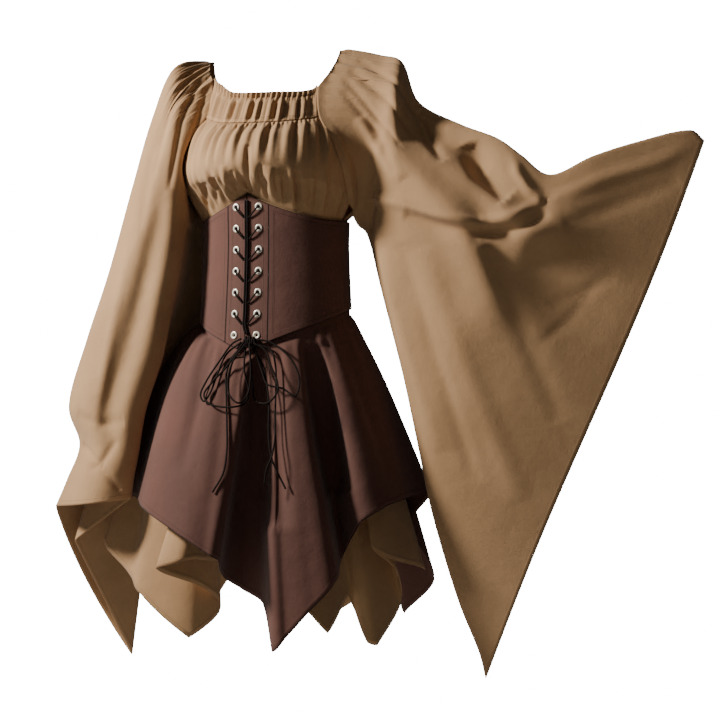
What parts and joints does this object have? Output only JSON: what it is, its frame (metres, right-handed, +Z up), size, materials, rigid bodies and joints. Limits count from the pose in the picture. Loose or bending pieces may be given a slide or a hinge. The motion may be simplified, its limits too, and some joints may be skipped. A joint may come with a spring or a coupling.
{
  "type": "medieval gown",
  "caption": "Off-shoulder gathered blouse with wide pointed sleeves, laced underbust bodice and two handkerchief-hem skirts.",
  "frame": {"origin": "midway between the shoulders, at the height of the neckline there, where the wearer holds the gown up", "axes": "+Z up, -Y towards the front of the gown, +X towards the wearer's left"},
  "size_m": [1.0158, 0.4968, 0.9836],
  "materials": {
    "cotton": "matte plain weave",
    "twill": "matte twill",
    "eyelet": "satin nickel",
    "cord": "waxed round cord"
  },
  "bodies": {
    "root": {"yoke_front": "cotton", "bodice_front": "cotton", "bodice_back": "cotton", "sleeve_left": "cotton", "sleeve_right": "cotton", "underskirt": "cotton", "overskirt": "twill", "placket_left": "twill", "placket_right": "twill", "corset_side_left": "twill", "corset_side_right": "twill", "corset_back": "twill", "eyelet_left_1": "eyelet", "eyelet_left_2": "eyelet", "eyelet_left_3": "eyelet", "eyelet_left_4": "eyelet", "eyelet_left_5": "eyelet", "eyelet_left_6": "eyelet", "eyelet_left_7": "eyelet", "eyelet_right_1": "eyelet", "eyelet_right_2": "eyelet", "eyelet_right_3": "eyelet", "eyelet_right_4": "eyelet", "eyelet_right_5": "eyelet", "eyelet_right_6": "eyelet", "eyelet_right_7": "eyelet", "lace_left_1": "cord", "lace_left_2": "cord", "lace_left_3": "cord", "lace_left_4": "cord", "lace_left_5": "cord", "lace_left_6": "cord", "lace_right_1": "cord", "lace_right_2": "cord", "lace_right_3": "cord", "lace_right_4": "cord", "lace_right_5": "cord", "lace_right_6": "cord", "lace_centre_left": "cord", "lace_centre_right": "cord", "bow_knot": "cord", "bow_loop_right_outer": "cord", "bow_loop_right_inner": "cord", "bow_loop_left_outer": "cord", "bow_loop_left_large": "cord", "bow_loop_left_inner": "cord", "bow_tail_left": "cord", "bow_tail_right_long": "cord", "bow_tail_right_short": "cord"}
  },
  "joints": []
}
